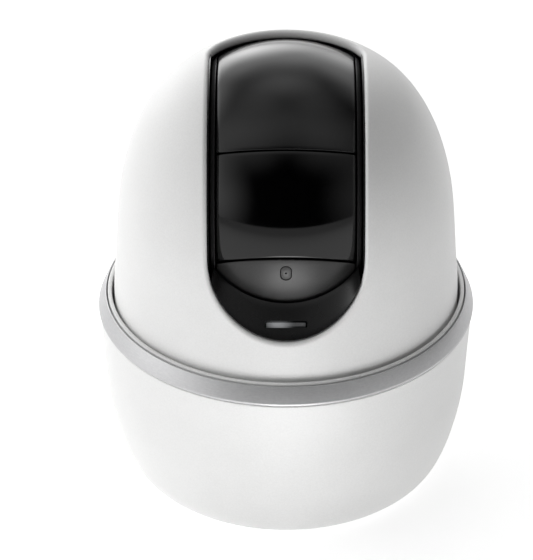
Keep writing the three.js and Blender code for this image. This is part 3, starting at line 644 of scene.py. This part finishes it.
def finish_material(name, color, color2, rough, rough2, metal=0.0, grain=1500.0, patch=60.0, bump=0.05, depth=0.02, ior=1.46,
                    coat=0.0, coat_rough=0.05, stretch=(1, 1, 1), spec=0.5):
    """Two close tones in soft patches and a fine grain, uneven gloss, and a fine relief."""
    m, nt, b = tree(name)
    link = nt.links.new
    co = node(nt, "ShaderNodeTexCoord")
    mp = node(nt, "ShaderNodeMapping")
    mp.inputs["Scale"].default_value = stretch
    link(co.outputs["Object"], mp.inputs["Vector"])
    big = node(nt, "ShaderNodeTexNoise", Scale=patch, Detail=3.0, Roughness=0.55)
    small = node(nt, "ShaderNodeTexNoise", Scale=grain, Detail=2.0, Roughness=0.6)
    for n in (big, small):
        link(mp.outputs["Vector"], n.inputs["Vector"])
    mixv = node(nt, "ShaderNodeMath", operation="MULTIPLY_ADD")
    link(small.outputs["Fac"], mixv.inputs[0])
    mixv.inputs[1].default_value = 0.5
    half = node(nt, "ShaderNodeMath", operation="MULTIPLY")
    link(big.outputs["Fac"], half.inputs[0])
    half.inputs[1].default_value = 0.5
    link(half.outputs[0], mixv.inputs[2])
    ramp = node(nt, "ShaderNodeValToRGB")
    ramp.color_ramp.elements[0].position, ramp.color_ramp.elements[0].color = 0.36, (*color, 1)
    ramp.color_ramp.elements[1].position, ramp.color_ramp.elements[1].color = 0.64, (*color2, 1)
    link(mixv.outputs[0], ramp.inputs["Fac"])
    link(ramp.outputs["Color"], b.inputs["Base Color"])
    rr = node(nt, "ShaderNodeMapRange")
    link(big.outputs["Fac"], rr.inputs["Value"])
    for key, value in (("From Min", 0.3), ("From Max", 0.7), ("To Min", rough), ("To Max", rough2)):
        rr.inputs[key].default_value = value
    link(rr.outputs["Result"], b.inputs["Roughness"])
    bp = node(nt, "ShaderNodeBump", Strength=bump, Distance=depth * MM)
    link(small.outputs["Fac"], bp.inputs["Height"])
    link(bp.outputs["Normal"], b.inputs["Normal"])
    b.inputs["Metallic"].default_value = metal
    b.inputs["IOR"].default_value = ior
    b.inputs["Specular IOR Level"].default_value = spec
    if coat:
        b.inputs["Coat Weight"].default_value = coat
        b.inputs["Coat Roughness"].default_value = coat_rough
    return m, nt, b


white, _, _ = finish_material("white_shell", (0.80, 0.80, 0.795), (0.86, 0.86, 0.855), 0.42, 0.5, grain=2600, patch=45, bump=0.12, depth=0.02)
gloss_black, _, _ = finish_material("black_shell", (0.0036, 0.0036, 0.0038), (0.0062, 0.0062, 0.0064), 0.10, 0.16, grain=900, patch=70, bump=0.02, depth=0.01)
# Cheeks: dark matte plastic in its own tone, but made lighter than the ball's black as painted light that brightens the
# shaded gap beside the ball in the slot.
cheek_black_painted_light, _, _ = finish_material("black_cheek_painted_light", (0.030, 0.030, 0.0305), (0.045, 0.045, 0.0455), 0.30, 0.40, grain=1500, patch=80, bump=0.05, depth=0.01)
insert_black, _, _ = finish_material("black_insert", (0.0040, 0.0040, 0.0042), (0.0066, 0.0066, 0.0068), 0.22, 0.32, grain=1800, patch=90, bump=0.08, depth=0.012)
smoked, _, _ = finish_material("window_smoked", (0.0004, 0.0004, 0.0005), (0.0012, 0.0012, 0.0014), 0.05, 0.09, grain=700, patch=50, bump=0.01, depth=0.006)
chin_grey, _, _ = finish_material("chin_satin", (0.014, 0.0138, 0.0138), (0.024, 0.0236, 0.0236), 0.30, 0.38, grain=3000, patch=120, bump=0.15, depth=0.012)
dark, _, _ = finish_material("dark_moulding", (0.010, 0.010, 0.011), (0.022, 0.022, 0.024), 0.42, 0.6, grain=2400, patch=150, bump=0.15)
frame_grey, _, _ = finish_material("frame_moulding", (0.035, 0.037, 0.041), (0.058, 0.060, 0.066), 0.5, 0.66, grain=2000, patch=110, bump=0.15)
nylon, _, _ = finish_material("nylon_gear", (0.66, 0.63, 0.55), (0.76, 0.73, 0.65), 0.4, 0.55, grain=1800, patch=120, bump=0.1)
rubber, _, _ = finish_material("foot_rubber_black", (0.028, 0.028, 0.030), (0.050, 0.050, 0.052), 0.78, 0.95, grain=4200, patch=160, bump=0.4, depth=0.03)
steel, _, _ = finish_material("bright_steel", (0.46, 0.47, 0.49), (0.62, 0.63, 0.65), 0.24, 0.4, metal=1.0, grain=2600, patch=180, bump=0.12)
paper, _, _ = finish_material("cone_paper", (0.016, 0.016, 0.018), (0.04, 0.04, 0.042), 0.75, 0.92, grain=3200, patch=220, bump=0.5, depth=0.03)
guide_mat, _, gb = finish_material("guide_milky", (0.10, 0.103, 0.106), (0.15, 0.153, 0.156), 0.16, 0.26, grain=1600, patch=160, bump=0.05, depth=0.01)
glass, _, _ = finish_material("coated_glass", (0.010, 0.012, 0.030), (0.030, 0.018, 0.055), 0.02, 0.05, grain=300, patch=120, bump=0.01, depth=0.003, ior=1.6)
led, _, _ = finish_material("emitter_epoxy", (0.020, 0.008, 0.012), (0.040, 0.016, 0.022), 0.08, 0.16, grain=900, patch=260, bump=0.03)

# The light guide glows softly, brightest a little left of its middle.
nt = guide_mat.node_tree
co = node(nt, "ShaderNodeTexCoord")
sp = node(nt, "ShaderNodeSeparateXYZ")
nt.links.new(co.outputs["Object"], sp.inputs["Vector"])
off = node(nt, "ShaderNodeMath", operation="ADD")
nt.links.new(sp.outputs["X"], off.inputs[0])
off.inputs[1].default_value = 0.0016
mag = node(nt, "ShaderNodeMath", operation="ABSOLUTE")
nt.links.new(off.outputs[0], mag.inputs[0])
glow = node(nt, "ShaderNodeMapRange", interpolation_type="SMOOTHSTEP")
nt.links.new(mag.outputs[0], glow.inputs["Value"])
for key, value in (("From Min", 0.0036), ("From Max", 0.0002), ("To Min", 0.008), ("To Max", 0.19)):
    glow.inputs[key].default_value = value
nt.links.new(glow.outputs["Result"], gb.inputs["Emission Strength"])
gb.inputs["Emission Color"].default_value = (0.95, 0.97, 1.0, 1)

# Silver ring: turned, so its fine lines run round it.
silver, nt, b = tree("silver_satin")
link = nt.links.new
co = node(nt, "ShaderNodeTexCoord")
sep = node(nt, "ShaderNodeSeparateXYZ")
link(co.outputs["Object"], sep.inputs["Vector"])
turn = node(nt, "ShaderNodeMath", operation="ARCTAN2")
link(sep.outputs["Y"], turn.inputs[0])
link(sep.outputs["X"], turn.inputs[1])
comb = node(nt, "ShaderNodeCombineXYZ")
slow = node(nt, "ShaderNodeMath", operation="MULTIPLY")
link(turn.outputs[0], slow.inputs[0])
slow.inputs[1].default_value = 0.006
link(slow.outputs[0], comb.inputs["X"])
link(sep.outputs["Z"], comb.inputs["Z"])
lines = node(nt, "ShaderNodeTexNoise", Scale=4200.0, Detail=3.0, Roughness=0.6)
link(comb.outputs["Vector"], lines.inputs["Vector"])
speck = node(nt, "ShaderNodeTexNoise", Scale=1800.0, Detail=2.0)
link(co.outputs["Object"], speck.inputs["Vector"])
both = node(nt, "ShaderNodeMix", data_type="FLOAT")
both.inputs[0].default_value = 0.35
link(lines.outputs["Fac"], both.inputs[2])
link(speck.outputs["Fac"], both.inputs[3])
ramp = node(nt, "ShaderNodeValToRGB")
ramp.color_ramp.elements[0].position, ramp.color_ramp.elements[0].color = 0.3, (0.52, 0.52, 0.53, 1)
ramp.color_ramp.elements[1].position, ramp.color_ramp.elements[1].color = 0.7, (0.62, 0.62, 0.625, 1)
link(both.outputs[0], ramp.inputs["Fac"])
link(ramp.outputs["Color"], b.inputs["Base Color"])
rr = node(nt, "ShaderNodeMapRange")
link(both.outputs[0], rr.inputs["Value"])
for key, value in (("From Min", 0.3), ("From Max", 0.7), ("To Min", 0.36), ("To Max", 0.46)):
    rr.inputs[key].default_value = value
link(rr.outputs["Result"], b.inputs["Roughness"])
bp = node(nt, "ShaderNodeBump", Strength=0.08, Distance=0.00001)
link(both.outputs[0], bp.inputs["Height"])
link(bp.outputs["Normal"], b.inputs["Normal"])
b.inputs["Metallic"].default_value = 0.55

# Circuit board: green mask with faint copper tracks and pads under it.
pcb, nt, b = tree("board_green")
link = nt.links.new
co = node(nt, "ShaderNodeTexCoord")
cells = node(nt, "ShaderNodeTexVoronoi", distance="MANHATTAN", feature="F1", Scale=320.0, Randomness=0.25)
link(co.outputs["Object"], cells.inputs["Vector"])
pads = node(nt, "ShaderNodeMapRange")
link(cells.outputs["Distance"], pads.inputs["Value"])
for key, value in (("From Min", 0.16), ("From Max", 0.2), ("To Min", 1.0), ("To Max", 0.0)):
    pads.inputs[key].default_value = value
tracks = node(nt, "ShaderNodeTexWave", Scale=260.0, Distortion=2.5, Detail=1.0)
link(co.outputs["Object"], tracks.inputs["Vector"])
cut_ = node(nt, "ShaderNodeMapRange")
link(tracks.outputs["Fac"], cut_.inputs["Value"])
for key, value in (("From Min", 0.55), ("From Max", 0.62), ("To Min", 0.0), ("To Max", 1.0)):
    cut_.inputs[key].default_value = value
mask = node(nt, "ShaderNodeMix", data_type="RGBA")
mask.inputs[6].default_value, mask.inputs[7].default_value = (0.010, 0.075, 0.030, 1), (0.022, 0.125, 0.050, 1)
link(cut_.outputs["Result"], mask.inputs[0])
pad = node(nt, "ShaderNodeMix", data_type="RGBA")
link(mask.outputs[2], pad.inputs[6])
pad.inputs[7].default_value = (0.45, 0.44, 0.38, 1)
link(pads.outputs["Result"], pad.inputs[0])
link(pad.outputs[2], b.inputs["Base Color"])
b.inputs["Roughness"].default_value = 0.42
bp = node(nt, "ShaderNodeBump", Strength=0.25, Distance=0.00003)
link(cut_.outputs["Result"], bp.inputs["Height"])
link(bp.outputs["Normal"], b.inputs["Normal"])

LOOKS = {
    "white_plastic": white, "silver_trim": silver, "black_gloss": gloss_black, "smoked_window": smoked, "grey_matte": chin_grey,
    "dark_plastic": dark, "frame_plastic": frame_grey, "nylon": nylon, "foot_rubber": rubber, "steel": steel, "circuit_board": pcb,
    "light_guide": guide_mat, "lens_glass": glass, "ir_emitter": led}


def dress(ob, material):
    ob.data.materials.clear()
    ob.data.materials.append(material)


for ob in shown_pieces():
    if "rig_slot" in ob:
        dress(ob, LOOKS[ob["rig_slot"]])
dress(insert, insert_black)
# The cheeks get the lightened black, painted light standing in for light in the shaded slot gap.
for plate in cheeks:
    dress(plate, cheek_black_painted_light)
dress(mic, chin_grey)

slot_of_node = {p["node"]: p["material_slot"] for p in frame["record"]["subparts"]}
for name, ob in frame["nodes"].items():
    slot = slot_of_node.get(name)
    dress(ob, LOOKS.get(slot, dark))
    if slot:
        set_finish(ob, slot)
    for poly in ob.data.polygons:
        poly.use_smooth = True
    ob.data.set_sharp_from_angle(angle=D(28))
dress(frame["nodes"]["speaker_cone"], paper)

# ------------------------------------------------------------------ floor, light, camera
me = bpy.data.meshes.new("floor")
me.from_pydata([(-6, -6, -0.00003), (6, -6, -0.00003), (6, 6, -0.00003), (-6, 6, -0.00003)], [], [(0, 1, 2, 3)])
floor = bpy.data.objects.new("floor", me)
scene.collection.objects.link(floor)
fm, nt, b = tree("floor_pale")
fn = node(nt, "ShaderNodeTexNoise", Scale=3.0, Detail=2.0)
fr = node(nt, "ShaderNodeValToRGB")
fr.color_ramp.elements[0].color, fr.color_ramp.elements[1].color = (0.86, 0.86, 0.86, 1), (0.9, 0.9, 0.9, 1)
nt.links.new(fn.outputs["Fac"], fr.inputs["Fac"])
nt.links.new(fr.outputs["Color"], b.inputs["Base Color"])
b.inputs["Roughness"].default_value = 0.9
b.inputs["Specular IOR Level"].default_value = 0.1
dress(floor, fm)

# Soft studio light: panels given by direction, each fading smoothly from its middle to its edge.
# (azimuth, elevation, half width in degrees, strength); azimuth 0 is in front of the object, 90 to its right, 180 behind it.
PANELS = [
    (140, 8, 22, 0.24),
    (165, 8, 22, 1.80),
    (190, 8, 22, 3.60),
    (215, 8, 22, 4.30),
    (140, 28, 27, 0.85),
    (165, 28, 27, 1.20),
    (190, 28, 27, 1.35),
    (215, 28, 27, 0.90),
    (240, 28, 27, 2.10),
    (145, 62, 27, 0.45),
    (180, 56, 24, 0.75),
    (215, 62, 27, 0.60),
    (60, 10, 38, 0.34),
    (300, 10, 38, 1.25),
    (270, 10, 38, 1.80),
    (90, 36, 38, 0.20),
    (270, 36, 38, 0.75),
    (60, 62, 38, 0.52),
    (300, 62, 38, 0.66),
    (0, 90, 38, 0.27),
]
FLOOR_GLOW, FRONT_GLOW, CARD_GLOW = 0.52, 0.06, 6.0   # white light table: all over, the part in front, and a small bright card close in front
world = bpy.data.worlds.new("studio")
scene.world = world
world.use_nodes = True
nt = world.node_tree
nt.nodes.clear()
link = nt.links.new
co = node(nt, "ShaderNodeTexCoord")
total = None
for az, el, half, strength in PANELS:
    d = (math.sin(D(az)) * math.cos(D(el)), -math.cos(D(az)) * math.cos(D(el)), math.sin(D(el)))
    dot = node(nt, "ShaderNodeVectorMath", operation="DOT_PRODUCT")
    link(co.outputs["Generated"], dot.inputs[0])
    dot.inputs[1].default_value = d
    lim = node(nt, "ShaderNodeClamp")
    lim.inputs["Min"].default_value, lim.inputs["Max"].default_value = -1.0, 1.0
    link(dot.outputs["Value"], lim.inputs["Value"])
    arc = node(nt, "ShaderNodeMath", operation="ARCCOSINE")
    link(lim.outputs["Result"], arc.inputs[0])
    rng = node(nt, "ShaderNodeMapRange", interpolation_type="SMOOTHSTEP")
    link(arc.outputs[0], rng.inputs["Value"])
    for key, value in (("From Min", D(half)), ("From Max", 0.0), ("To Min", 0.0), ("To Max", strength)):
        rng.inputs[key].default_value = value
    if total is None:
        total = rng.outputs["Result"]
    else:
        add = node(nt, "ShaderNodeMath", operation="ADD")
        link(total, add.inputs[0])
        link(rng.outputs["Result"], add.inputs[1])
        total = add.outputs[0]
bg = node(nt, "ShaderNodeBackground")
bg.inputs["Color"].default_value = (1, 1, 1, 1)
link(total, bg.inputs["Strength"])
out = node(nt, "ShaderNodeOutputWorld")
link(bg.outputs["Background"], out.inputs["Surface"])


def patch_mask(nt, co, cx, cy, hx, hy, soft, value):
    """A soft-edged rectangle on the floor."""
    sp = node(nt, "ShaderNodeSeparateXYZ")
    nt.links.new(co.outputs["Object"], sp.inputs["Vector"])
    parts = []
    for axis, c, half, top in (("X", cx, hx, 1.0), ("Y", cy, hy, value)):
        off = node(nt, "ShaderNodeMath", operation="SUBTRACT")
        nt.links.new(sp.outputs[axis], off.inputs[0])
        off.inputs[1].default_value = c
        mag = node(nt, "ShaderNodeMath", operation="ABSOLUTE")
        nt.links.new(off.outputs[0], mag.inputs[0])
        r = node(nt, "ShaderNodeMapRange", interpolation_type="SMOOTHSTEP")
        nt.links.new(mag.outputs[0], r.inputs["Value"])
        for key, v in (("From Min", half + soft), ("From Max", half - soft), ("To Min", 0.0), ("To Max", top)):
            r.inputs[key].default_value = v
        parts.append(r.outputs["Result"])
    m = node(nt, "ShaderNodeMath", operation="MULTIPLY")
    nt.links.new(parts[0], m.inputs[0])
    nt.links.new(parts[1], m.inputs[1])
    return m.outputs[0]


nt = fm.node_tree
co = node(nt, "ShaderNodeTexCoord")
front = patch_mask(nt, co, 0, -0.17, 0.30, 0.11, 0.10, FRONT_GLOW)
card = patch_mask(nt, co, 0.003, -0.115, 0.022, 0.030, 0.016, CARD_GLOW)
far = node(nt, "ShaderNodeSeparateXYZ")
nt.links.new(co.outputs["Object"], far.inputs["Vector"])
fade = node(nt, "ShaderNodeMapRange", interpolation_type="SMOOTHSTEP")
nt.links.new(far.outputs["Y"], fade.inputs["Value"])
for key, v in (("From Min", -0.20), ("From Max", -0.80), ("To Min", FLOOR_GLOW), ("To Max", 0.0)):
    fade.inputs[key].default_value = v
s1 = node(nt, "ShaderNodeMath", operation="ADD")
nt.links.new(front, s1.inputs[0])
nt.links.new(card, s1.inputs[1])
s2 = node(nt, "ShaderNodeMath", operation="ADD")
nt.links.new(s1.outputs[0], s2.inputs[0])
nt.links.new(fade.outputs["Result"], s2.inputs[1])
nt.links.new(s2.outputs[0], nt.nodes["Principled BSDF"].inputs["Emission Strength"])
nt.nodes["Principled BSDF"].inputs["Emission Color"].default_value = (1, 1, 1, 1)

cam_data = bpy.data.cameras.new("camera")
cam = bpy.data.objects.new("camera", cam_data)
scene.collection.objects.link(cam)
scene.camera = cam
ELEVATION, DISTANCE, TARGET_Z, FOCAL_PX = 32.56, 0.6351, 0.04512, 2836.3
cam.location = (0, -DISTANCE * math.cos(D(ELEVATION)), TARGET_Z + DISTANCE * math.sin(D(ELEVATION)))
cam.rotation_euler = (D(90 - ELEVATION), 0, 0)
cam_data.sensor_width = 36.0
cam_data.lens = FOCAL_PX / 560 * 36.0
cam_data.shift_x = -19.5 / 560
cam_data.clip_start, cam_data.clip_end = 0.01, 50
scene.view_settings.view_transform = "Standard"
scene.view_settings.look = "None"
scene.view_settings.exposure = 0.0
